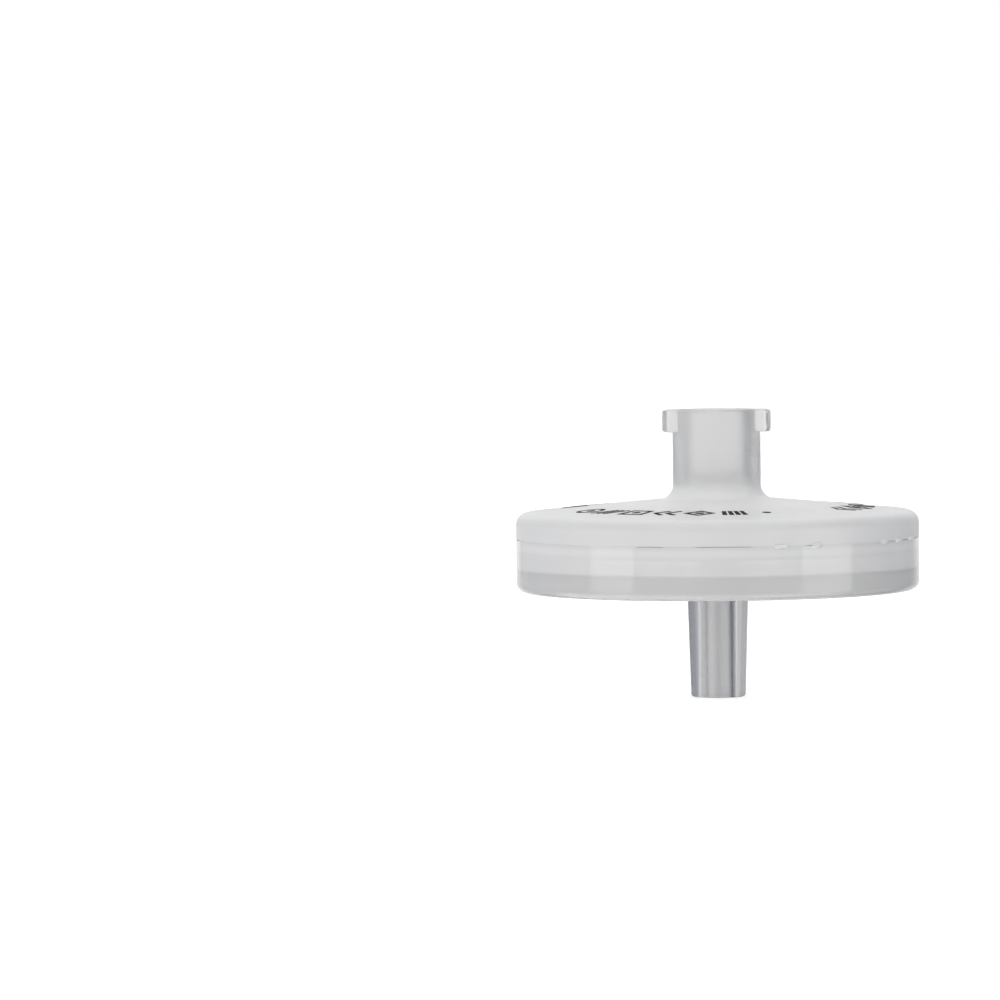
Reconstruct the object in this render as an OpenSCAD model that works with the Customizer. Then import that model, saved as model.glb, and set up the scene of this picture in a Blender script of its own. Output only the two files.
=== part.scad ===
// Syringe filter: two welded polypropylene mouldings with a membrane clamped between them.
// The axis is Z. The origin is the centre of the outlet tip's end face, and +Z points to the inlet.

/* [Disc] */
// Diameter of the welded disc
disc_d = 29; // [20:0.1:40]
// Radial width of the weld face, from the rim to the seat's wall
weld_w = 1.5; // [1:0.05:2.5]
// Slope of the disc's top, in degrees
top_slope = 5.4; // [3:0.1:12]
// Height of the upper half's rim above the seam, where the sloping top would meet it
rim_h = 1.8; // [1.6:0.05:4]
// Radius of the rim's upper edge
rim_edge_r = 0.85; // [0.2:0.05:1.05]
// Depth of the groove that the seam leaves in the rim
seam_groove = 0.08; // [0.02:0.01:0.2]

/* [Inlet] */
// Diameter of the neck
neck_d = 6.33; // [5.8:0.01:7.6]
// Radius of the fillet between the neck and the disc
neck_fillet_r = 1.05; // [0.3:0.05:1.8]
// Diameter across the two Luer-lock lugs
lug_d = 7.83; // [7.7:0.01:9.4]
// Height of the lugs
lug_h = 1.6; // [1:0.05:2.5]
// Width of each lug
lug_w = 3.3; // [2:0.05:4.5]
// Diameter of the socket's mouth
socket_d = 4.3; // [3.8:0.005:5.2]
// Depth of the socket's tapered stretch
socket_depth = 7.6; // [6:0.1:10]
// Taper of the socket and the outlet, as change of diameter over length
luer_taper = 0.06; // [0.04:0.005:0.08]
// Diameter of the well below the socket
well_d = 3.2; // [2.6:0.05:3.8]
// Depth of the well
well_depth = 0.8; // [0.4:0.05:2]

/* [Distributor] */
// Thickness of the deflector between the well and the chamber
deflector_t = 0.95; // [0.5:0.05:2]
// Diameter of each of the deflector's ports
port_d = 0.8; // [0.4:0.05:0.9]
// Number of ports
port_count = 4; // [3:1:5]
// Wall between a port and the side of the well
port_margin = 0.05; // [0.02:0.01:0.2]
// Diameter of the stud in the middle of the deflector's underside, as high as the upper ridges
stud_d = 1.1; // [0.4:0.05:1.4]
// Gap between the membrane and the upper ridges
flow_gap = 0.15; // [0.05:0.01:0.4]
// Height of the upper ridges
upper_ridge_h = 0.25; // [0.1:0.05:0.5]
// Radial width of the ring that clamps the membrane's edge
clamp_w = 1.25; // [0.8:0.05:2]
// Clearance between the clamping ring and the seat's wall
plug_clearance = 0.05; // [0.02:0.01:0.2]

/* [Membrane] */
// Thickness of the membrane
membrane_t = 0.15; // [0.1:0.01:0.3]
// Gap between the membrane's edge and the seat's wall
membrane_gap = 0.5; // [0.1:0.05:0.8]
// Depth of the membrane's seat below the seam
seat_depth = 0.7; // [0.4:0.05:1]

/* [Support] */
// Height of the support ridges under the membrane
support_ridge_h = 0.35; // [0.1:0.05:0.6]
// Spacing of the ridges, from one to the next
ridge_pitch = 1; // [0.8:0.1:2]
// Width of each ridge
ridge_w = 0.5; // [0.2:0.05:0.7]
// Number of radial channels in each half
channel_count = 8; // [4:1:10]
// Width of each radial channel
channel_w = 1.3; // [0.6:0.05:1.6]
// Radius of the open middle of the support, inside the first ridge
sump_r = 2.1; // [1.1:0.1:3]
// Thickness of the plate under the membrane's seat
plate_t = 1.4; // [1:0.05:3]

/* [Outlet] */
// Depth of the recess under the disc, inside the skirt
skirt_depth = 1.7; // [1:0.05:4]
// Thickness of the skirt
skirt_t = 1.3; // [1:0.05:2]
// Radius of the skirt's outer edge
skirt_edge_r = 0.65; // [0.2:0.05:0.75]
// Radius of the skirt's inner edge and of the corner inside the recess
recess_edge_r = 0.25; // [0.1:0.05:0.35]
// Length of the outlet below the skirt
outlet_len = 7.7; // [5:0.05:12]
// Diameter of the outlet at its tip
tip_d = 3.95; // [3:0.01:4.8]
// Radius of the tip's outer edge
tip_edge_r = 0.22; // [0.05:0.01:0.4]
// Radius of the fillet between the outlet and the plate
outlet_fillet_r = 0.4; // [0.1:0.05:0.8]
// Diameter of the outlet's flow bore
bore_d = 1.9; // [0.8:0.05:2.1]

/* [Hidden] */
$fn = 96;
over = 1;                                     // how far a cutting shape runs past the face that it cuts
disc_r = disc_d / 2;
neck_r = neck_d / 2;
tip_r = tip_d / 2;
seat_r = disc_r - weld_w;
plug_r = seat_r - plug_clearance;
clamp_r = plug_r - clamp_w;
membrane_r = seat_r - membrane_gap;
ridge_limit_r = clamp_r - ridge_w / 2;        // no ridge reaches further out than this
skirt_r = disc_r - skirt_t;
ceiling_z = outlet_len + skirt_depth;         // the recess's ceiling
seat_z = ceiling_z + plate_t;
seam_z = seat_z + seat_depth;
clamp_z = seat_z + membrane_t;                // the membrane's upper face
ridge_z = clamp_z + flow_gap;
chamber_z = ridge_z + upper_ridge_h;          // the chamber's roof
well_z = chamber_z + deflector_t;
socket_z = well_z + well_depth;
inlet_z = socket_z + socket_depth;
port_circle_r = well_d / 2 - port_margin - port_d / 2;
outlet_slope = atan(luer_taper / 2);

// Height of the sloping top at a distance r from the axis
function top_z(r) = seam_z + rim_h + (disc_r - r) * tan(top_slope);
// Radius of the outlet at a height z
function outlet_r(z) = tip_r + z * luer_taper / 2;

// The centres of the three blends that touch a sloping line, and the points where they leave it
rim_edge_c = [disc_r - rim_edge_r, top_z(disc_r - rim_edge_r) - rim_edge_r / cos(top_slope)];
rim_edge_end = rim_edge_c + rim_edge_r * [sin(top_slope), cos(top_slope)];
neck_fillet_c = [neck_r + neck_fillet_r, top_z(neck_r + neck_fillet_r) + neck_fillet_r / cos(top_slope)];
neck_fillet_end = neck_fillet_c - neck_fillet_r * [sin(top_slope), cos(top_slope)];
outlet_fillet_z = ceiling_z - outlet_fillet_r;
outlet_fillet_c = [outlet_r(outlet_fillet_z) + outlet_fillet_r / cos(outlet_slope), outlet_fillet_z];
outlet_fillet_end = outlet_fillet_c + outlet_fillet_r * [-cos(outlet_slope), sin(outlet_slope)];

// What a rounded corner loses. The corner is at the origin, with the solid on the side away from x and y.
module corner_loss(r) {
  difference() {
    translate([-r, -r]) square(r + over);
    translate([-r, -r]) circle(r);
  }
}

// What a quarter-round fillet adds in a corner at the origin, whose open side is towards x and y
module corner_gain(r) {
  difference() {
    square(r);
    translate([r, r]) circle(r);
  }
}

// A flat ring about the axis, from z = 0 up
module ring(inner_r, outer_r, h) {
  rotate_extrude() translate([inner_r, 0]) square([outer_r - inner_r, h]);
}

// Concentric ridges with their radial channels left open, from z = 0 up
module ridges(first_r, limit_r, h) {
  difference() {
    for (r = [first_r : ridge_pitch : limit_r - ridge_w / 2]) ring(r - ridge_w / 2, r + ridge_w / 2, h);
    for (i = [0 : channel_count - 1]) rotate(i * 360 / channel_count)
      translate([0, -channel_w / 2, -over]) cube([disc_r, channel_w, h + 2 * over]);
  }
}

// Section of the upper half, solid to the axis
module upper_section() {
  difference() {
    union() {
      polygon([
        [0, clamp_z], [plug_r, clamp_z], [plug_r, seam_z], [disc_r - seam_groove, seam_z],
        [disc_r, seam_z + seam_groove], [disc_r, rim_edge_c.y], rim_edge_end, neck_fillet_end,
        [neck_r, neck_fillet_c.y], [neck_r, inlet_z], [0, inlet_z]
      ]);
      translate(rim_edge_c) circle(rim_edge_r);
    }
    translate(neck_fillet_c) circle(neck_fillet_r);
  }
}

// The two lugs as one bar through the neck
module lugs() {
  translate([0, 0, inlet_z - lug_h]) intersection() {
    cylinder(d = lug_d, h = lug_h);
    translate([-lug_d, -lug_w / 2, 0]) cube([2 * lug_d, lug_w, lug_h]);
  }
}

// The tapered socket, the well below it and the deflector's ports
module inlet_passage() {
  bottom_r = (socket_d - socket_depth * luer_taper) / 2;
  translate([0, 0, socket_z]) cylinder(r1 = bottom_r, r2 = socket_d / 2, h = socket_depth);
  translate([0, 0, well_z]) cylinder(d = well_d, h = well_depth);
  for (i = [0 : port_count - 1]) rotate(i * 360 / port_count)
    translate([port_circle_r, 0, clamp_z]) cylinder(d = port_d, h = well_z - clamp_z + well_depth / 2);
}

module upper_housing() color("whitesmoke") difference() {
  union() {
    difference() {
      rotate_extrude() upper_section();
      translate([0, 0, clamp_z - over]) cylinder(r = clamp_r, h = chamber_z - clamp_z + over);
    }
    lugs();
    translate([0, 0, ridge_z]) {
      ridges(well_d / 2 + ridge_pitch, ridge_limit_r, chamber_z - ridge_z);
      cylinder(d = stud_d, h = chamber_z - ridge_z);
    }
  }
  inlet_passage();
}

module membrane() color("white")
  translate([0, 0, seat_z]) cylinder(r = membrane_r, h = membrane_t);

// Section of the lower half, solid to the axis
module lower_section() {
  difference() {
    union() {
      polygon([
        [0, 0], [tip_r, 0], [outlet_r(outlet_fillet_z), outlet_fillet_z], outlet_fillet_end,
        [outlet_fillet_c.x, ceiling_z], [skirt_r, ceiling_z], [skirt_r, outlet_len], [disc_r, outlet_len],
        [disc_r, seam_z - seam_groove], [disc_r - seam_groove, seam_z], [seat_r, seam_z], [seat_r, seat_z],
        [0, seat_z]
      ]);
      translate([skirt_r, ceiling_z]) rotate(180) corner_gain(recess_edge_r);
    }
    translate(outlet_fillet_c) circle(outlet_fillet_r);
    translate([disc_r, outlet_len]) mirror([0, 1]) corner_loss(skirt_edge_r);
    translate([skirt_r, outlet_len]) rotate(180) corner_loss(recess_edge_r);
    translate([tip_r, 0]) mirror([0, 1]) corner_loss(tip_edge_r);
  }
}

module lower_housing() color("gainsboro") {
  floor_z = seat_z - support_ridge_h;
  difference() {
    rotate_extrude() lower_section();
    translate([0, 0, floor_z]) cylinder(r = clamp_r, h = support_ridge_h + over);
    translate([0, 0, -over]) cylinder(d = bore_d, h = seat_z + 2 * over);
  }
  translate([0, 0, floor_z]) ridges(sump_r + ridge_w / 2, ridge_limit_r, support_ridge_h);
}

lower_housing();
membrane();
upper_housing();
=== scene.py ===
"""Looks of the syringe filter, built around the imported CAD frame.

The axis is Z, and the outlet's tip is at z = 0. Meshes are made in mm and scaled to metres at the end.
"""
import math

import bmesh
import bpy
from mathutils import Matrix, Vector, noise


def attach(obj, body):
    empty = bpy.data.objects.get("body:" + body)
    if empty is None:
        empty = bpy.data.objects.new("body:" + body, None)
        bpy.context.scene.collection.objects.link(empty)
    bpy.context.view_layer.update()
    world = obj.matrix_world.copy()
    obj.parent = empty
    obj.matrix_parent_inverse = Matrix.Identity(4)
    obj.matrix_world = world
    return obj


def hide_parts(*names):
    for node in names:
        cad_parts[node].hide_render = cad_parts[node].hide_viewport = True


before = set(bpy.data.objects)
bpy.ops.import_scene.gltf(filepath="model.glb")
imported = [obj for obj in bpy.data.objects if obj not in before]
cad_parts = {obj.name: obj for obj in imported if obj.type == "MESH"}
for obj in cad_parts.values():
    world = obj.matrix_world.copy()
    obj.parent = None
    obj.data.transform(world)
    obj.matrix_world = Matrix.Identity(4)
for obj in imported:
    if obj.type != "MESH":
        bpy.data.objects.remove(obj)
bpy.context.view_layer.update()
scene = bpy.context.scene

MM = 0.001

# Camera: a long lens a little above the disc, turned so that the filter stands right of the middle
CAMERA_AT = (0, -0.420, 0.03236)
CAMERA_AIM = (-0.015638, 0, 0.014295)
CAMERA_LENS = 210
CAMERA_SENSOR = 36
CAMERA_CLIP = 0.01
CAMERA_ROLL = math.radians(-0.56)

# Sizes of the part, in mm
DISC_R = 14.5
SKIRT_Z = 7.7
CEILING_Z = SKIRT_Z + 1.7
SEAT_Z = CEILING_Z + 1.4
SEAM_Z = SEAT_Z + 0.7
FLOOR_Z = SEAT_Z - 0.35
CLAMP_Z = SEAT_Z + 0.15
RIDGE_TIP_Z = CLAMP_Z + 0.15
CHAMBER_Z = RIDGE_TIP_Z + 0.25
WELL_Z = CHAMBER_Z + 0.95
SOCKET_Z = WELL_Z + 0.8
INLET_Z = SOCKET_Z + 7.6
RIM_EDGE_R = 0.85
RIM_TOP = 1.8
TOP_SLOPE = math.radians(5.4)
NECK_R = 3.165
NECK_FILLET = 1.05
LUG_R = 3.915
LUG_HALF = 1.65
LUG_H = 1.6
SOCKET_MOUTH_R = 2.15
SOCKET_BOTTOM_R = 1.922
WELL_R = 1.6
PORT_R = 0.4
PORT_CIRCLE_R = 1.15
PORT_COUNT = 4
CHAMBER_R = 11.7
PLUG_R = 12.95
STUD_R = 0.55
RIDGE_PITCH = 1.0
RIDGE_HALF = 0.25
RIDGE_LIMIT = 11.2
UPPER_RIDGE_R = 2.6
LOWER_RIDGE_R = 2.35
CHANNELS = 8
CHANNEL_HALF = 0.65
SEAT_R = 13.0
MEMBRANE_R = 12.5
SKIRT_IN_R = 13.2
SKIRT_EDGE = 0.65
RECESS_EDGE = 0.25
TIP_R = 1.975
TIP_EDGE = 0.22
OUTLET_TAPER = 0.03
OUTLET_FILLET = 0.4
BORE_R = 0.95

# Small edges that the moulds leave, in mm
LUG_CORNER = 0.3
LUG_EDGE = 0.2
NECK_EDGE = 0.12
MOUTH_EDGE = 0.14
PLUG_CHAMFER = 0.15
BORE_MOUTH = 0.06
BORE_CHAMFER = 0.1
MEMBRANE_EDGE = 0.03
# Air on both faces of the membrane, so that no two pieces share a face
MEMBRANE_AIR = 0.005
# How far a ridge reaches into its plate, and how far a port's cutter passes the deflector, below and above
RIDGE_ROOT = 0.03
PORT_PAST = (0.1, 0.2)

# Mesh: columns round the axis, and finer ones where a lug's corner turns, in degrees from the lug's middle
COLUMNS = 320
FINE_FROM = 20.25
FINE_STEP = 0.375
FINE_COUNT = 36
ARC_STEPS = 8
EDGE_STEPS = 4
RIDGE_STEPS_PER_MM = 3
RIDGE_STEPS_LEAST = 6
PORT_SIDES = 40
CIRCLE_SIDES = 32
PIN_MARK_SIDES = 48
FLOOR_SIDES = 96
MERGE_BELOW = 1e-5
DISSOLVE_BELOW = 1e-6
ROUNDING = 1e-6
# Edges that turn more than this stay sharp
SHARP_FROM = math.radians(32)

# The weld's seam in the rim, in mm
WELD_GAP = 0.004
SEAM_LIP = 0.15
SEAM_MARGIN = 0.05
LIP_RISE = 0.003
LIP_INSET = 0.002
SEAM_DEPTH = 0.006
SEAM_UNEVEN = 0.6
DASH_DEPTH = 0.09
DASH_HALF = 0.024
FLASH_PROUD = 0.12
FLASH_HALF = 0.1
# Where the weld hasn't closed, and where it has squeezed out: azimuth from the camera's side and half width,
# in degrees
DASHES = ((0.8, 6.2), (-18.3, 2.4), (27.3, 1.2), (-80, 2.0), (58, 2.0), (66, 3.0), (77, 3.0))
FLASHES = ((17.8, 1.2), (28.8, 0.8), (54.5, 1.0), (62, 1.2), (71.5, 1.6))
SPOT_FADE = 0.8
# Noise along the rim: the radius and height of the circle in noise space that it is read on
DASH_NOISE = (9, 3.7)
DEPTH_NOISE = (40, 1.3)
# Between these values of the noise the seam opens
DASH_FROM = 0.34
DASH_FULL = 0.44

# The printed ring on the sloping top, in mm
PRINT_R = 10.4
STROKE_HALF = 0.16
DOT_R = STROKE_HALF * 1.02
MITRE_LEAST = 0.5
INK_LOW = 0.003
INK_HIGH = 0.014
PRINT_STEP = 0.4
PRINT_GROUPS = 3
GROUP_SHIFT = 3
PRINT_TURN = math.radians(-110)
MARK_PITCH = math.radians(13.2)

# The round mark that a pin leaves in the sloping top, in mm
PIN_MARK_AT = (12.0, math.radians(110))
PIN_MARK_R = 1.3
PIN_MARK_HALF = 0.05
PIN_MARK_DEPTH = 0.04

# Polypropylene where it is thick and where it is thin: colour, transmission, roughness
SATIN_THICK = ((0.91, 0.91, 0.91), 0.25, 0.36)
SATIN_THIN = ((0.98, 0.98, 0.98), 0.82, 0.33)
SATIN_SPECULAR = 0.3
GLOSS_THICK = ((0.86, 0.86, 0.86), 0.25, 0.07)
# The outlet half's thin colour is darker: beside the real clearer plastic, partly painted shade of the hollow
# behind the skirt and of the outlet
GLOSS_THIN_SHADED = ((0.755, 0.755, 0.76), 0.93, 0.17)
GLOSS_SPECULAR = 0.5
PLASTIC_IOR = 1.49
# The roughness changes over a short stretch between thick and thin, and varies with the grain
ROUGHNESS_TURN = (0.45, 0.55)
GRAIN_SHARE = (0.85, 1.15)
# Painted light: the tone that lightens the neck's foot and a band below the seam, and gives the squeezed-out
# beads a painted highlight
PAINTED_LIGHT_TONE = (0.97, 0.97, 0.97, 1)
CLOUD_TONE = (0.62, 0.63, 0.66, 1)
CLOUD_MOST = 0.06
# Painted shade of the ridges inside, seen through the top: how much, and how far their ends and the outermost
# one are blurred
RIDGE_SHADE_TONE = (0.45, 0.46, 0.48, 1)
RIDGE_SHADE_SHARE = 0.09
RIDGE_BLUR = 0.25
RIDGE_FADE = 0.4
# Flow lines: how fast their noise changes in one turn and in a mm of height
LINES_TURN = 9.0
LINES_RISE = 6.0
# Painted light, in mm: at the neck's foot, in a band below the seam, and a painted highlight on the
# squeezed-out beads
FOOT_R = (11, 4.5)
FOOT_Z = (SEAM_Z + 1, SEAM_Z + 2)
WELD_BAND_Z = SEAM_Z - 0.5
WELD_BAND = (0.4, 0.1)
WELD_BAND_MOST = 0.6
BEAD_HIGHLIGHT_R = (DISC_R + 0.01, DISC_R + 0.04)
# How thin the skirt and the outlet look, with their darker tone partly painted shade, how far each change is
# blurred, and where the neck turns clear
SKIRT_THIN_SHADED = 0.28
SKIRT_BLUR = 0.15
OUTLET_THIN_SHADED = 0.72
OUTLET_BLUR = 0.3
NECK_FOOT_Z = SEAM_Z + 3.6
NECK_CLEAR_Z = (NECK_FOOT_Z - 0.4, NECK_FOOT_Z + 1.3)
# The film and the ink, each between two tones and two roughnesses
FILM_TONES = ((0.80, 0.80, 0.79, 1), (0.90, 0.90, 0.89, 1))
FILM_ROUGHNESS = (0.75, 0.95)
INK_TONES = ((0.008, 0.008, 0.009, 1), (0.030, 0.030, 0.032, 1))
INK_ROUGHNESS = (0.55, 0.75)
INK_PATCHES = (0.35, 0.75)
INK_SPECULAR = 0.05
# Most values of a noise lie between these
NOISE_RANGE = (0.3, 0.7)

# Studio
FLOOR_RADIUS = 1.5
FLOOR_GLOW = 0.75
FLOOR_TONE = (0.5, 0.5, 0.5, 1)
STUDIO_BASE = 0.03
# Soft panels round the object: azimuth from the camera's side, half width, lowest and highest elevation,
# brightness and soft edge, with the angles in degrees. A negative brightness is a dark flag.
PANELS = (
    (-63, 14, (-30, 25), 1.85, 1.5),
    (65.5, 16.5, (-30, 25), 1.82, 1.5),
    (180, 31, (-30, 60), 1.02, 13.0),
    (180, 4, (-30, 60), -0.27, 4.0),
    (165, 8, (-30, 60), -0.12, 6.0),
    (133, 13, (-30, 60), 0.34, 6.0),
    (-113, 34, (-30, 50), 0.6, 4.0),
    (-24, 24, (-30, 50), 0.86, 8.0),
    (24, 24, (-30, 50), 0.64, 8.0),
    (0, 180, (48, 90), 1.28, 10.0),
    (-60, 150, (-90, -35), 1.75, 8.0),
)
# The dim parts of the studio are a little blue
DIM_TINT = (0.82, 0.90, 1.12, 1)
DIM_LEVELS = (0.1, 0.8)


# ---------------------------------------------------------------- camera

def make_camera():
    data = bpy.data.cameras.new("camera")
    data.lens = CAMERA_LENS
    data.sensor_width = CAMERA_SENSOR
    data.clip_start = CAMERA_CLIP
    camera = bpy.data.objects.new("camera", data)
    scene.collection.objects.link(camera)
    aim = (Vector(CAMERA_AIM) - Vector(CAMERA_AT)).to_track_quat("-Z", "Y").to_matrix().to_4x4()
    camera.matrix_world = Matrix.Translation(CAMERA_AT) @ aim @ Matrix.Rotation(CAMERA_ROLL, 4, "Z")
    scene.camera = camera


make_camera()


# ---------------------------------------------------------------- mesh helpers

def arc(centre, radius, start, end, steps=ARC_STEPS):
    """Points (r, z) on an arc, from start to end in degrees."""
    turns = [math.radians(start + (end - start) * i / steps) for i in range(steps + 1)]
    return [(centre[0] + radius * math.cos(a), centre[1] + radius * math.sin(a)) for a in turns]


def stretch(start, end, steps):
    """Points after start up to and including end, evenly spaced."""
    return [(start[0] + (end[0] - start[0]) * i / steps, start[1] + (end[1] - start[1]) * i / steps)
            for i in range(1, steps + 1)]


def column_angles():
    """Angles of the columns: even all round, and closer together where a lug's corner turns."""
    even = [i * 360 / COLUMNS for i in range(COLUMNS)]
    fine = [half + side * (FINE_FROM + FINE_STEP * i)
            for half in (0, 180) for side in (1, -1) for i in range(FINE_COUNT)]
    return [math.radians(a) for a in sorted({round(a % 360, 6) for a in even + fine})]


ANGLES = column_angles()


def skin(bm, rows, closed):
    """Faces from each row of points to the next, and from the last to the first where closed."""
    for row, following in zip(rows, rows[1:] + rows[:1] if closed else rows[1:]):
        for i in range(len(row)):
            j = (i + 1) % len(row)
            bm.faces.new((row[i], row[j], following[j], following[i]))


def cap(bm, rows):
    """Flat ends for a bar."""
    bm.faces.new(rows[0])
    bm.faces.new(rows[-1][::-1])


def lathe(rings, closed):
    """A bmesh turned about Z. A ring is (r, z), and r or z may be a function of the angle."""
    bm = bmesh.new()
    rows = []
    for r, z in rings:
        row = []
        for a in ANGLES:
            radius = r(a) if callable(r) else r
            height = z(a) if callable(z) else z
            row.append(bm.verts.new((radius * math.cos(a), radius * math.sin(a), height)))
        rows.append(row)
    skin(bm, rows, closed)
    bmesh.ops.remove_doubles(bm, verts=bm.verts, dist=MERGE_BELOW)
    bmesh.ops.dissolve_degenerate(bm, edges=bm.edges, dist=DISSOLVE_BELOW)
    bmesh.ops.recalc_face_normals(bm, faces=bm.faces)
    return bm


def ridges(first_r, z0, z1):
    """Concentric ridges between the radial channels."""
    bm = bmesh.new()
    r = first_r
    while r <= RIDGE_LIMIT - RIDGE_HALF + ROUNDING:
        for c in range(CHANNELS):
            add_ridge(bm, r, c * 2 * math.pi / CHANNELS, z0, z1)
        r += RIDGE_PITCH
    return bm


def add_ridge(bm, r, channel, z0, z1):
    """A closed bar bent round the axis, from the channel at that angle to the next one."""
    inner, outer = r - RIDGE_HALF, r + RIDGE_HALF
    sector = 2 * math.pi / CHANNELS
    steps = max(RIDGE_STEPS_LEAST, int(r * RIDGE_STEPS_PER_MM))
    ends = {radius: math.asin(CHANNEL_HALF / radius) for radius in (inner, outer)}
    rows = []
    for i in range(steps + 1):
        row = []
        for radius, z in ((inner, z0), (outer, z0), (outer, z1), (inner, z1)):
            a = channel + ends[radius] + (sector - 2 * ends[radius]) * i / steps
            row.append(bm.verts.new((radius * math.cos(a), radius * math.sin(a), z)))
        rows.append(row)
    skin(bm, rows, closed=False)
    cap(bm, rows)


def to_object(bm, name):
    mesh = bpy.data.meshes.new(name)
    bmesh.ops.scale(bm, vec=(MM, MM, MM), verts=bm.verts)
    bm.to_mesh(mesh)
    bm.free()
    piece = bpy.data.objects.new(name, mesh)
    scene.collection.objects.link(piece)
    return piece


def boolean(piece, bm, operation):
    """Adds a closed bmesh to a piece or cuts it away, and applies the result."""
    bmesh.ops.recalc_face_normals(bm, faces=bm.faces)
    tool = to_object(bm, "tool")
    modifier = piece.modifiers.new("boolean", "BOOLEAN")
    modifier.object = tool
    modifier.operation = operation
    modifier.solver = "MANIFOLD"
    deps = bpy.context.evaluated_depsgraph_get()
    mesh = bpy.data.meshes.new_from_object(piece.evaluated_get(deps))
    piece.modifiers.clear()
    old = piece.data
    piece.data = mesh
    bpy.data.meshes.remove(old)
    bpy.data.objects.remove(tool)
    mesh.name = piece.name


def smooth(piece):
    piece.data.materials.clear()
    piece.data.shade_smooth()
    piece.data.set_sharp_from_angle(angle=SHARP_FROM)


# ---------------------------------------------------------------- seam

def ramp(value, low, high):
    """Rises smoothly from 0 at low to 1 at high."""
    t = min(1, max(0, (value - low) / (high - low)))
    return t * t * (3 - 2 * t)


def along_seam(a, spots):
    """1 at the listed stretches of the seam, and 0 away from them."""
    azimuth = math.degrees(a) + 90
    away = [abs((azimuth - middle + 180) % 360 - 180) - half for middle, half in spots]
    return 1 - ramp(min(away), 0, SPOT_FADE)


def rim_noise(a, radius, height):
    """Smooth noise round the rim, read on a circle in noise space."""
    return noise.noise(Vector((math.cos(a) * radius, math.sin(a) * radius, height)))


def dash(a):
    """How open the seam is: 1 along the dashes, which noise adds to at the sides and the back."""
    return max(along_seam(a, DASHES), ramp(rim_noise(a, *DASH_NOISE), DASH_FROM, DASH_FULL))


def seam_radius(a):
    """Radius at the bottom of the seam's groove, or at the crest where the weld has squeezed out."""
    depth = SEAM_DEPTH * (1 + SEAM_UNEVEN * rim_noise(a, *DEPTH_NOISE)) + (DASH_DEPTH - SEAM_DEPTH) * dash(a)
    return DISC_R - depth + (depth + FLASH_PROUD) * along_seam(a, FLASHES)


def seam_rings(side):
    """Rings of the rim from the wall to the seam's groove. The side is 1 above the seam and -1 below it."""
    def lip_z(a):
        flash = along_seam(a, FLASHES)
        opening = DASH_HALF * dash(a) * (1 - flash)
        return SEAM_Z + side * (WELD_GAP / 2 + LIP_RISE + opening + FLASH_HALF * flash)

    def lip_r(a):
        return DISC_R - LIP_INSET + FLASH_PROUD * along_seam(a, FLASHES)
    return [(DISC_R, SEAM_Z + side * (SEAM_LIP + SEAM_MARGIN)), (DISC_R, SEAM_Z + side * SEAM_LIP),
            (lip_r, lip_z), (seam_radius, SEAM_Z + side * WELD_GAP / 2)]


# ---------------------------------------------------------------- upper housing

def top_z(r):
    """Height of the sloping top at a distance r from the axis."""
    return SEAM_Z + RIM_TOP + (DISC_R - r) * math.tan(TOP_SLOPE)


def lug_outline(lug_inset, neck_inset):
    """Radius of the neck with its two lugs, as a function of the angle.

    The insets shrink the outline, and a lug's corner shrinks by half of its inset.
    """
    outer, half, corner = LUG_R - lug_inset, LUG_HALF - lug_inset, LUG_CORNER - 0.5 * lug_inset
    cy = half - corner
    cx = math.sqrt((outer - corner) ** 2 - cy ** 2)
    start, end = math.atan2(cy, cx), math.atan2(half, cx)
    neck = NECK_R - neck_inset

    def radius(a):
        t = math.radians(abs((math.degrees(a) + 90) % 180 - 90))
        if t <= start:
            return outer
        if t >= end:
            return max(neck, half / math.sin(t))
        along = cx * math.cos(t) + cy * math.sin(t)
        return along + math.sqrt(along ** 2 - cx ** 2 - cy ** 2 + corner ** 2)
    return radius


def edge_rings(z, up, lug_edge, neck_edge):
    """Rings of the lugs' rounded edge at the height z, in order from low to high."""
    rings = []
    for i in range(EDGE_STEPS + 1):
        a = math.radians(90 * i / EDGE_STEPS)
        inset, rise = 1 - math.sin(a), 1 - math.cos(a)
        rings.append((lug_outline(lug_edge * inset, neck_edge * inset), z - up * lug_edge * rise))
    return rings[::-1] if up > 0 else rings


def upper_rings():
    """Section of the inlet half: out along its inner face, up the rim, over the top and down the socket."""
    rim_c = (DISC_R - RIM_EDGE_R, top_z(DISC_R - RIM_EDGE_R) - RIM_EDGE_R / math.cos(TOP_SLOPE))
    neck_c = (NECK_R + NECK_FILLET, top_z(NECK_R + NECK_FILLET) + NECK_FILLET / math.cos(TOP_SLOPE))
    slope = math.degrees(TOP_SLOPE)
    rim = arc(rim_c, RIM_EDGE_R, 0, 90 - slope, steps=12)
    fillet = arc(neck_c, NECK_FILLET, 270 - slope, 180, steps=12)
    lug_z = INLET_Z - LUG_H
    mouth = arc((SOCKET_MOUTH_R + MOUTH_EDGE, INLET_Z - MOUTH_EDGE), MOUTH_EDGE, 90, 180, steps=4)
    rings = [(0, RIDGE_TIP_Z), (STUD_R, RIDGE_TIP_Z), (STUD_R, CHAMBER_Z), (CHAMBER_R, CHAMBER_Z),
             (CHAMBER_R, CLAMP_Z), (PLUG_R - PLUG_CHAMFER, CLAMP_Z), (PLUG_R, CLAMP_Z + PLUG_CHAMFER),
             (PLUG_R, SEAM_Z + WELD_GAP / 2)]
    rings += seam_rings(1)[::-1]
    rings += stretch((DISC_R, SEAM_Z + SEAM_LIP + SEAM_MARGIN), rim[0], steps=3)[:-1] + rim
    rings += stretch(rim[-1], fillet[0], steps=14)[:-1] + fillet
    rings += stretch(fillet[-1], (NECK_R, lug_z), steps=6)
    rings += edge_rings(lug_z, -1, LUG_EDGE, 0)
    rings += edge_rings(INLET_Z, 1, LUG_EDGE, NECK_EDGE)
    rings += mouth + stretch(mouth[-1], (SOCKET_BOTTOM_R, SOCKET_Z), steps=5)
    rings += [(WELL_R, SOCKET_Z), (WELL_R, WELL_Z), (0, WELL_Z)]
    return rings


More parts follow.
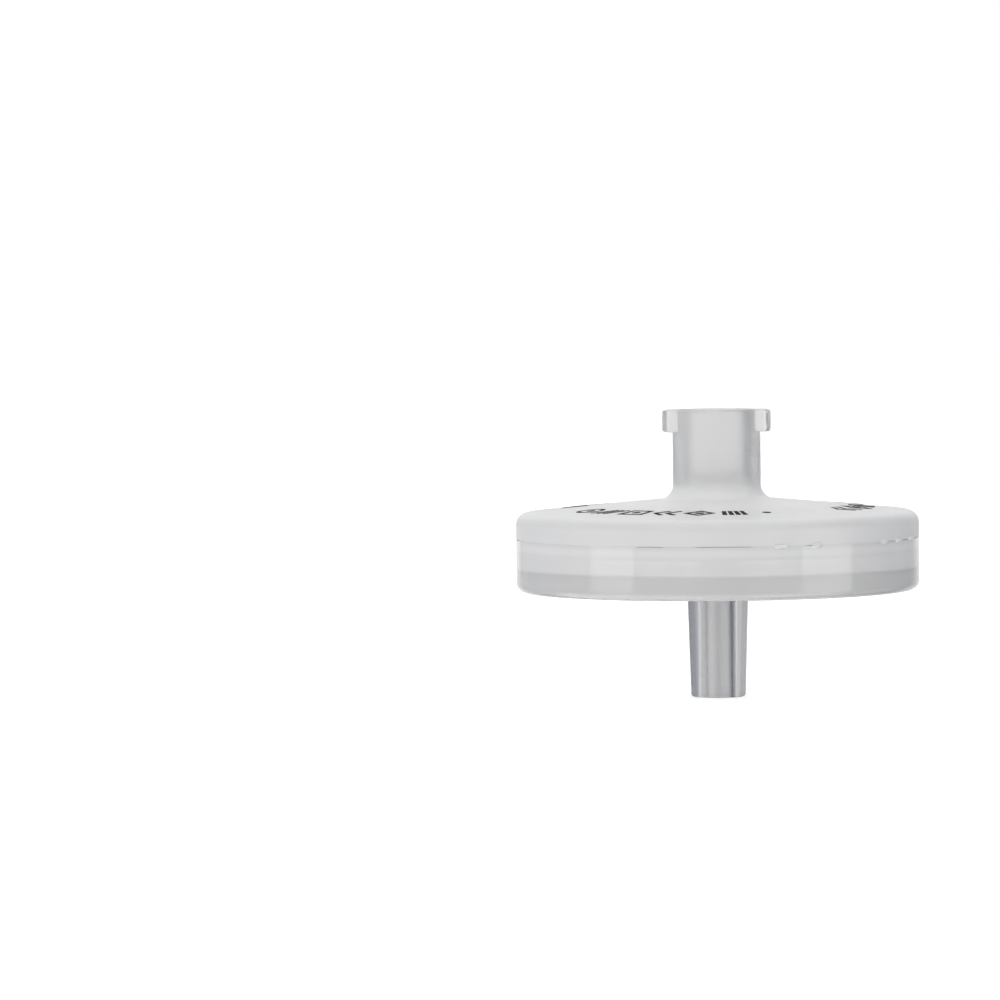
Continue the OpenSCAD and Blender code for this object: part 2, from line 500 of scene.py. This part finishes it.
def ports(z0, z1):
    """Cylinders that cut the deflector's ports."""
    bm = bmesh.new()
    for i in range(PORT_COUNT):
        a = i * 2 * math.pi / PORT_COUNT
        made = bmesh.ops.create_cone(bm, cap_ends=True, segments=PORT_SIDES, radius1=PORT_R, radius2=PORT_R,
                                     depth=z1 - z0)
        place = Vector((PORT_CIRCLE_R * math.cos(a), PORT_CIRCLE_R * math.sin(a), (z0 + z1) / 2))
        bmesh.ops.translate(bm, vec=place, verts=made["verts"])
    return bm


def pin_mark():
    """A closed ring that cuts a fine round groove into the sloping top."""
    r, a = PIN_MARK_AT
    bm = bmesh.new()
    corners = ((-PIN_MARK_HALF, -PIN_MARK_DEPTH), (PIN_MARK_HALF, -PIN_MARK_DEPTH),
               (PIN_MARK_HALF, PIN_MARK_DEPTH), (-PIN_MARK_HALF, PIN_MARK_DEPTH))
    rows = []
    for i in range(PIN_MARK_SIDES):
        t = 2 * math.pi * i / PIN_MARK_SIDES
        rows.append([bm.verts.new(((PIN_MARK_R + u) * math.cos(t), (PIN_MARK_R + u) * math.sin(t), z))
                     for u, z in corners])
    skin(bm, rows, closed=True)
    tilt = Matrix.Rotation(TOP_SLOPE, 4, "Y")
    place = Matrix.Rotation(a, 4, "Z") @ Matrix.Translation((r, 0, top_z(r))) @ tilt
    bmesh.ops.transform(bm, matrix=place, verts=bm.verts)
    return bm


def make_upper():
    piece = to_object(lathe(upper_rings(), closed=False), "inlet_half")
    boolean(piece, ridges(UPPER_RIDGE_R, RIDGE_TIP_Z, CHAMBER_Z + RIDGE_ROOT), "UNION")
    boolean(piece, ports(CHAMBER_Z - PORT_PAST[0], WELL_Z + PORT_PAST[1]), "DIFFERENCE")
    boolean(piece, pin_mark(), "DIFFERENCE")
    smooth(piece)
    return piece


# ---------------------------------------------------------------- print

def circle(radius):
    turns = [2 * math.pi * i / CIRCLE_SIDES for i in range(CIRCLE_SIDES)]
    return [(radius * math.cos(t), radius * math.sin(t)) for t in turns]


def print_marks():
    """The printed marks, each a list of strokes, (points, closed), with u along the ring and v outwards."""
    dot = (circle(DOT_R), True)
    square = ([(-0.8, -0.85), (0.8, -0.85), (0.8, 0.85), (-0.8, 0.85)], True)
    diamond = ([(-0.95, 0), (0, -1), (0.95, 0), (0, 1)], True)
    slants = [([(u - 0.4, -0.95), (u + 0.4, 0.95)], False) for u in (-0.6, 0, 0.6)]
    arrows = [([(u - 0.4, -0.95), (u + 0.4, 0), (u - 0.4, 0.95)], False) for u in (-0.45, 0.45)]
    bars = [([(u, -0.95), (u, 0.95)], False) for u in (-0.7, -0.25, 0.2, 0.65)]
    return [[(circle(0.9), True), dot], slants, [square, dot], arrows, [diamond, dot], bars, [dot]]


def finely(points, closed):
    """The same line with a point at least every PRINT_STEP, so that it follows the cone."""
    fine = []
    for start, end in zip(points, points[1:] + points[:1] if closed else points[1:]):
        steps = max(1, math.ceil(math.dist(start, end) / PRINT_STEP))
        fine += [start] + stretch(start, end, steps)[:-1]
    return fine if closed else fine + [points[-1]]


def add_stroke(bm, points, closed, turn):
    """A closed flat bar of ink along a line, laid on the cone."""
    points = finely(points, closed)
    rows = []
    for i, here in enumerate(points):
        before = points[i - 1] if closed or i else here
        after = points[(i + 1) % len(points)] if closed or i < len(points) - 1 else here
        ways = [(Vector(q) - Vector(p)).normalized() for p, q in ((before, here), (here, after)) if p != q]
        way = sum(ways, Vector((0, 0))).normalized()
        across = Vector((-way.y, way.x)) * STROKE_HALF / max(MITRE_LEAST, way.dot(ways[0]))
        row = []
        for side, lift in ((-1, INK_LOW), (1, INK_LOW), (1, INK_HIGH), (-1, INK_HIGH)):
            u, v = Vector(here) + across * side
            a, r = turn - u / PRINT_R, PRINT_R + v
            row.append(bm.verts.new((r * math.cos(a), r * math.sin(a), top_z(r) + lift)))
        rows.append(row)
    skin(bm, rows, closed)
    if not closed:
        cap(bm, rows)


def make_print():
    """A ring of generic marks in black ink, in equal groups that each begin with another mark."""
    bm = bmesh.new()
    marks = print_marks()
    for group in range(PRINT_GROUPS):
        middle = PRINT_TURN + group * 2 * math.pi / PRINT_GROUPS
        for i in range(len(marks)):
            turn = middle + (i - (len(marks) - 1) / 2) * MARK_PITCH
            for points, closed in marks[(i + GROUP_SHIFT * group) % len(marks)]:
                add_stroke(bm, points, closed, turn)
    bmesh.ops.recalc_face_normals(bm, faces=bm.faces)
    return to_object(bm, "print_ring")


# ---------------------------------------------------------------- lower housing and membrane

def outlet_r(z):
    """Radius of the outlet at the height z."""
    return TIP_R + z * OUTLET_TAPER


def lower_rings():
    """Section of the outlet half: up the outlet from its tip, over the skirt and the seam, down the bore."""
    fillet_z = CEILING_Z - OUTLET_FILLET
    fillet = arc((outlet_r(fillet_z) + OUTLET_FILLET, fillet_z), OUTLET_FILLET, 180, 90, steps=6)
    tip = arc((TIP_R - TIP_EDGE, TIP_EDGE), TIP_EDGE, 270, 360, steps=6)
    corner = arc((SKIRT_IN_R - RECESS_EDGE, CEILING_Z - RECESS_EDGE), RECESS_EDGE, 90, 0, steps=5)
    inner = arc((SKIRT_IN_R + RECESS_EDGE, SKIRT_Z + RECESS_EDGE), RECESS_EDGE, 180, 270, steps=5)
    outer = arc((DISC_R - SKIRT_EDGE, SKIRT_Z + SKIRT_EDGE), SKIRT_EDGE, 270, 360, steps=10)
    bore_top = (BORE_R, FLOOR_Z - BORE_CHAMFER)
    rings = [(BORE_R + BORE_MOUTH, 0)] + tip
    rings += stretch(tip[-1], fillet[0], steps=10)[:-1] + fillet
    rings += stretch(fillet[-1], corner[0], steps=6)[:-1] + corner
    rings += inner + outer
    rings += stretch(outer[-1], (DISC_R, SEAM_Z - SEAM_LIP - SEAM_MARGIN), steps=4)[:-1]
    rings += seam_rings(-1) + [(SEAT_R, SEAM_Z - WELD_GAP / 2), (SEAT_R, SEAT_Z), (CHAMBER_R, SEAT_Z),
                               (CHAMBER_R, FLOOR_Z), (BORE_R + BORE_CHAMFER, FLOOR_Z), bore_top]
    rings += stretch(bore_top, (BORE_R, BORE_MOUTH), steps=6)
    return rings


def make_lower():
    piece = to_object(lathe(lower_rings(), closed=True), "outlet_half")
    boolean(piece, ridges(LOWER_RIDGE_R, FLOOR_Z - RIDGE_ROOT, SEAT_Z - MEMBRANE_AIR), "UNION")
    smooth(piece)
    return piece


def make_membrane():
    low, high, flat_r = SEAT_Z + MEMBRANE_AIR, CLAMP_Z - MEMBRANE_AIR, MEMBRANE_R - MEMBRANE_EDGE
    rings = [(0, low)] + stretch((0, low), (flat_r, low), steps=24)
    rings += [(MEMBRANE_R, low + MEMBRANE_EDGE), (MEMBRANE_R, high - MEMBRANE_EDGE), (flat_r, high)]
    rings += stretch((flat_r, high), (0, high), steps=24)
    piece = to_object(lathe(rings, closed=False), "membrane_disc")
    smooth(piece)
    return piece


# ---------------------------------------------------------------- materials

class Nodes:
    """Adds nodes to a tree with their links and values in one line."""

    def __init__(self, tree):
        self.tree = tree

    def add(self, kind, values=None, **properties):
        node = self.tree.nodes.new(kind)
        for name, value in properties.items():
            setattr(node, name, value)
        for name, value in (values or {}).items():
            self.put(node.inputs[name], value)
        return node

    def put(self, socket, value):
        if isinstance(value, bpy.types.NodeSocket):
            self.tree.links.new(value, socket)
        else:
            socket.default_value = value

    def math(self, operation, *values):
        node = self.add("ShaderNodeMath", operation=operation)
        for socket, value in zip(node.inputs, values):
            self.put(socket, value)
        return node.outputs[0]

    def remap(self, value, low, high, to_low=0.0, to_high=1.0, eased=True):
        node = self.add("ShaderNodeMapRange", {"Value": value, "From Min": low, "From Max": high,
                                               "To Min": to_low, "To Max": to_high})
        node.interpolation_type = "SMOOTHSTEP" if eased else "LINEAR"
        return node.outputs["Result"]

    def mix(self, factor, first, second):
        """Colour mix: inputs 6 and 7 and output 2 are the node's colour sockets."""
        node = self.add("ShaderNodeMix", data_type="RGBA")
        self.put(node.inputs["Factor"], factor)
        self.put(node.inputs[6], first)
        self.put(node.inputs[7], second)
        return node.outputs[2]

    def noise(self, place, scale, detail=2.0, roughness=0.5):
        node = self.add("ShaderNodeTexNoise", {"Vector": place, "Scale": scale, "Detail": detail,
                                               "Roughness": roughness})
        return node.outputs["Fac"]

    def bump(self, shader, height, strength, distance):
        """Bump on a shader's normal, with the distance in metres."""
        node = self.add("ShaderNodeBump", {"Height": height, "Strength": strength, "Distance": distance})
        self.put(shader.inputs["Normal"], node.outputs[0])


def new_material(name):
    material = bpy.data.materials.new(name)
    material.use_nodes = True
    return material, Nodes(material.node_tree), material.node_tree.nodes["Principled BSDF"]


def position(nodes):
    """Place on the piece in mm: its vector, radius, height and angle in turns."""
    place = nodes.add("ShaderNodeTexCoord").outputs["Object"]
    scale = (1 / MM, 1 / MM, 1 / MM)
    place = nodes.add("ShaderNodeVectorMath", {0: place, 1: scale}, operation="MULTIPLY").outputs[0]
    x, y, z = nodes.add("ShaderNodeSeparateXYZ", {"Vector": place}).outputs
    radius = nodes.math("SQRT", nodes.math("ADD", nodes.math("MULTIPLY", x, x), nodes.math("MULTIPLY", y, y)))
    turn = nodes.math("DIVIDE", nodes.math("ARCTAN2", y, x), 2 * math.pi)
    return place, radius, z, turn


def ridge_shade_seen(nodes, radius, turn):
    """How much painted shade of the ridges inside shows through the top: 0 over a gap or a channel, and 1
    over a ridge.
    """
    along = nodes.math("MULTIPLY", nodes.math("SUBTRACT", radius, UPPER_RIDGE_R), 2 * math.pi / RIDGE_PITCH)
    wave = nodes.math("COSINE", along)
    sector = nodes.math("WRAP", turn, 0.5 / CHANNELS, -0.5 / CHANNELS)
    across = nodes.math("MULTIPLY", radius, nodes.math("SINE", nodes.math("MULTIPLY", sector, 2 * math.pi)))
    beside = nodes.remap(nodes.math("ABSOLUTE", across), CHANNEL_HALF - RIDGE_BLUR, CHANNEL_HALF + RIDGE_BLUR)
    within = nodes.math("MULTIPLY", nodes.remap(radius, RIDGE_LIMIT + RIDGE_FADE, RIDGE_LIMIT), beside)
    return nodes.math("MULTIPLY", nodes.remap(wave, -1, 1), within)


def painted_light(nodes, radius, z):
    """1 where light is painted: at the neck's foot, in a band below the weld, and as a highlight where it has
    squeezed out.
    """
    foot = nodes.math("MULTIPLY", nodes.remap(radius, *FOOT_R), nodes.remap(z, *FOOT_Z))
    off_band = nodes.math("ABSOLUTE", nodes.math("SUBTRACT", z, WELD_BAND_Z))
    lightened = nodes.math("MAXIMUM", foot, nodes.remap(off_band, *WELD_BAND, 0.0, WELD_BAND_MOST))
    return nodes.math("MAXIMUM", lightened, nodes.remap(radius, *BEAD_HIGHLIGHT_R))


def polypropylene(name, thick, thin, mask, shows, specular):
    """Natural polypropylene, cloudy white where it is thick and clearer where it is thin.

    Thick and thin are (colour, transmission, roughness). The mask says how thin it is at each height, and
    shows how far the painted shade of the ridges inside darkens it.
    """
    material, nodes, shader = new_material(name)
    place, radius, z, turn = position(nodes)
    thinness = mask(nodes, z)
    cloud = nodes.remap(nodes.noise(place, scale=0.35, detail=3.0), *NOISE_RANGE, 0.0, CLOUD_MOST)
    # On the outlet half the thin tone is darker, partly painted shade
    tone = nodes.mix(thinness, (*thick[0], 1), (*thin[0], 1))
    tone = nodes.mix(cloud, tone, CLOUD_TONE)
    if shows:
        # Painted shade of the ridges inside, showing through the top
        tone = nodes.mix(nodes.math("MULTIPLY", ridge_shade_seen(nodes, radius, turn), shows), tone, RIDGE_SHADE_TONE)
    # Painted light at the neck's foot and in a band below the weld, and a painted highlight on the
    # squeezed-out beads
    tone = nodes.mix(painted_light(nodes, radius, z), tone, PAINTED_LIGHT_TONE)
    nodes.put(shader.inputs["Base Color"], tone)
    transmission = nodes.remap(thinness, 0, 1, thick[1], thin[1], eased=False)
    nodes.put(shader.inputs["Transmission Weight"], transmission)
    grain = nodes.noise(place, scale=9.0, detail=3.0, roughness=0.6)
    roughness = nodes.remap(thinness, *ROUGHNESS_TURN, thick[2], thin[2])
    unevenness = nodes.remap(grain, *NOISE_RANGE, *GRAIN_SHARE)
    nodes.put(shader.inputs["Roughness"], nodes.math("MULTIPLY", roughness, unevenness))
    turned = nodes.add("ShaderNodeCombineXYZ", {"X": nodes.math("MULTIPLY", turn, LINES_TURN), "Y": radius,
                                                "Z": nodes.math("MULTIPLY", z, LINES_RISE)}).outputs[0]
    lines = nodes.noise(turned, scale=1.6)
    height = nodes.math("ADD", lines, nodes.math("MULTIPLY", grain, 0.3))
    nodes.bump(shader, height, strength=0.3, distance=5e-7)
    shader.inputs["IOR"].default_value = PLASTIC_IOR
    shader.inputs["Specular IOR Level"].default_value = specular
    return material


def outlet_thin_shaded(nodes, z):
    """Thin at the outlet, less so at the skirt, and thick at the plate and the wall around the seat."""
    # The darker tone that this gives the skirt band and the outlet is partly painted shade of the hollow and
    # the bore behind their walls
    skirt = nodes.remap(z, CEILING_Z + SKIRT_BLUR, CEILING_Z - SKIRT_BLUR, 0.0, SKIRT_THIN_SHADED)
    outlet = nodes.remap(z, SKIRT_Z + OUTLET_BLUR, SKIRT_Z - OUTLET_BLUR)
    return nodes.math("ADD", skirt, nodes.math("MULTIPLY", outlet, OUTLET_THIN_SHADED))


def inlet_thin(nodes, z):
    """Thin at the neck and the lugs."""
    return nodes.remap(z, *NECK_CLEAR_Z)


def film(name):
    """White microporous film, dull and a little uneven."""
    material, nodes, shader = new_material(name)
    place = position(nodes)[0]
    pores = nodes.noise(place, scale=14.0, detail=4.0, roughness=0.7)
    nodes.put(shader.inputs["Base Color"], nodes.mix(pores, *FILM_TONES))
    nodes.put(shader.inputs["Roughness"], nodes.remap(pores, *NOISE_RANGE, *FILM_ROUGHNESS))
    nodes.bump(shader, pores, strength=0.3, distance=2e-5)
    return material


def ink(name):
    """Black printing ink, a little thinner and duller in places."""
    material, nodes, shader = new_material(name)
    place = position(nodes)[0]
    patches = nodes.remap(nodes.noise(place, scale=3.0, detail=4.0, roughness=0.6), *INK_PATCHES)
    nodes.put(shader.inputs["Base Color"], nodes.mix(patches, *INK_TONES))
    nodes.put(shader.inputs["Roughness"], nodes.remap(patches, 0, 1, *INK_ROUGHNESS))
    shader.inputs["Specular IOR Level"].default_value = INK_SPECULAR
    nodes.bump(shader, nodes.noise(place, scale=22.0), strength=0.2, distance=2e-6)
    return material


# ---------------------------------------------------------------- stage and lights

def make_stage():
    """A pale floor that the camera sees and that throws no light or reflection on the object."""
    bm = bmesh.new()
    bmesh.ops.create_circle(bm, cap_ends=True, segments=FLOOR_SIDES, radius=FLOOR_RADIUS)
    mesh = bpy.data.meshes.new("floor")
    bm.to_mesh(mesh)
    bm.free()
    floor = bpy.data.objects.new("floor", mesh)
    scene.collection.objects.link(floor)
    material, _, shader = new_material("floor_paper")
    shader.inputs["Base Color"].default_value = FLOOR_TONE
    shader.inputs["Roughness"].default_value = 0.9
    shader.inputs["Specular IOR Level"].default_value = 0.1
    shader.inputs["Emission Color"].default_value = (1, 1, 1, 1)
    shader.inputs["Emission Strength"].default_value = FLOOR_GLOW
    mesh.materials.append(material)
    floor.visible_diffuse = floor.visible_glossy = floor.visible_transmission = False


def make_light():
    """Soft panels in a dim room. The camera itself sees a plain white room."""
    scene.view_settings.view_transform = "Standard"
    world = bpy.data.worlds.new("studio")
    scene.world = world
    world.use_nodes = True
    nodes = Nodes(world.node_tree)
    background = world.node_tree.nodes["Background"]
    place = nodes.add("ShaderNodeTexCoord").outputs["Generated"]
    xyz = nodes.add("ShaderNodeSeparateXYZ", {"Vector": place}).outputs
    azimuth = nodes.math("DEGREES", nodes.math("ARCTAN2", xyz["X"], nodes.math("MULTIPLY", xyz["Y"], -1.0)))
    elevation = nodes.math("DEGREES", nodes.math("ARCSINE", xyz["Z"]))
    level = STUDIO_BASE
    for centre, half, (low, high), power, edge in PANELS:
        inside = nodes.math("MULTIPLY", nodes.remap(elevation, low - edge, low + edge),
                            nodes.remap(elevation, high + edge, high - edge))
        if half < 180:
            turned = nodes.math("WRAP", nodes.math("SUBTRACT", azimuth, centre), 180.0, -180.0)
            away = nodes.math("ABSOLUTE", turned)
            inside = nodes.math("MULTIPLY", inside, nodes.remap(away, half + edge, half - edge))
        level = nodes.math("MULTIPLY_ADD", inside, power, level)
    seen = nodes.add("ShaderNodeLightPath").outputs["Is Camera Ray"]
    level = nodes.math("MAXIMUM", level, seen)
    tint = nodes.mix(nodes.remap(level, *DIM_LEVELS), DIM_TINT, (1, 1, 1, 1))
    nodes.put(background.inputs["Color"], tint)
    nodes.put(background.inputs["Strength"], level)


# ---------------------------------------------------------------- the pieces

upper = make_upper()
lower = make_lower()
membrane = make_membrane()
printed = make_print()
upper.data.materials.append(polypropylene("satin_polypropylene", SATIN_THICK, SATIN_THIN, inlet_thin,
                                          RIDGE_SHADE_SHARE, SATIN_SPECULAR))
lower.data.materials.append(polypropylene("gloss_polypropylene", GLOSS_THICK, GLOSS_THIN_SHADED, outlet_thin_shaded,
                                          0.0, GLOSS_SPECULAR))
membrane.data.materials.append(film("membrane_film"))
printed.data.materials.append(ink("print_ink"))

pieces = ((upper, "upper_housing", "inlet_plastic"), (lower, "lower_housing", "outlet_plastic"),
          (membrane, "membrane", "membrane"))
for piece, node, slot in pieces:
    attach(piece, "root")
    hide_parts(node)
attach(printed, "root")
make_stage()
make_light()
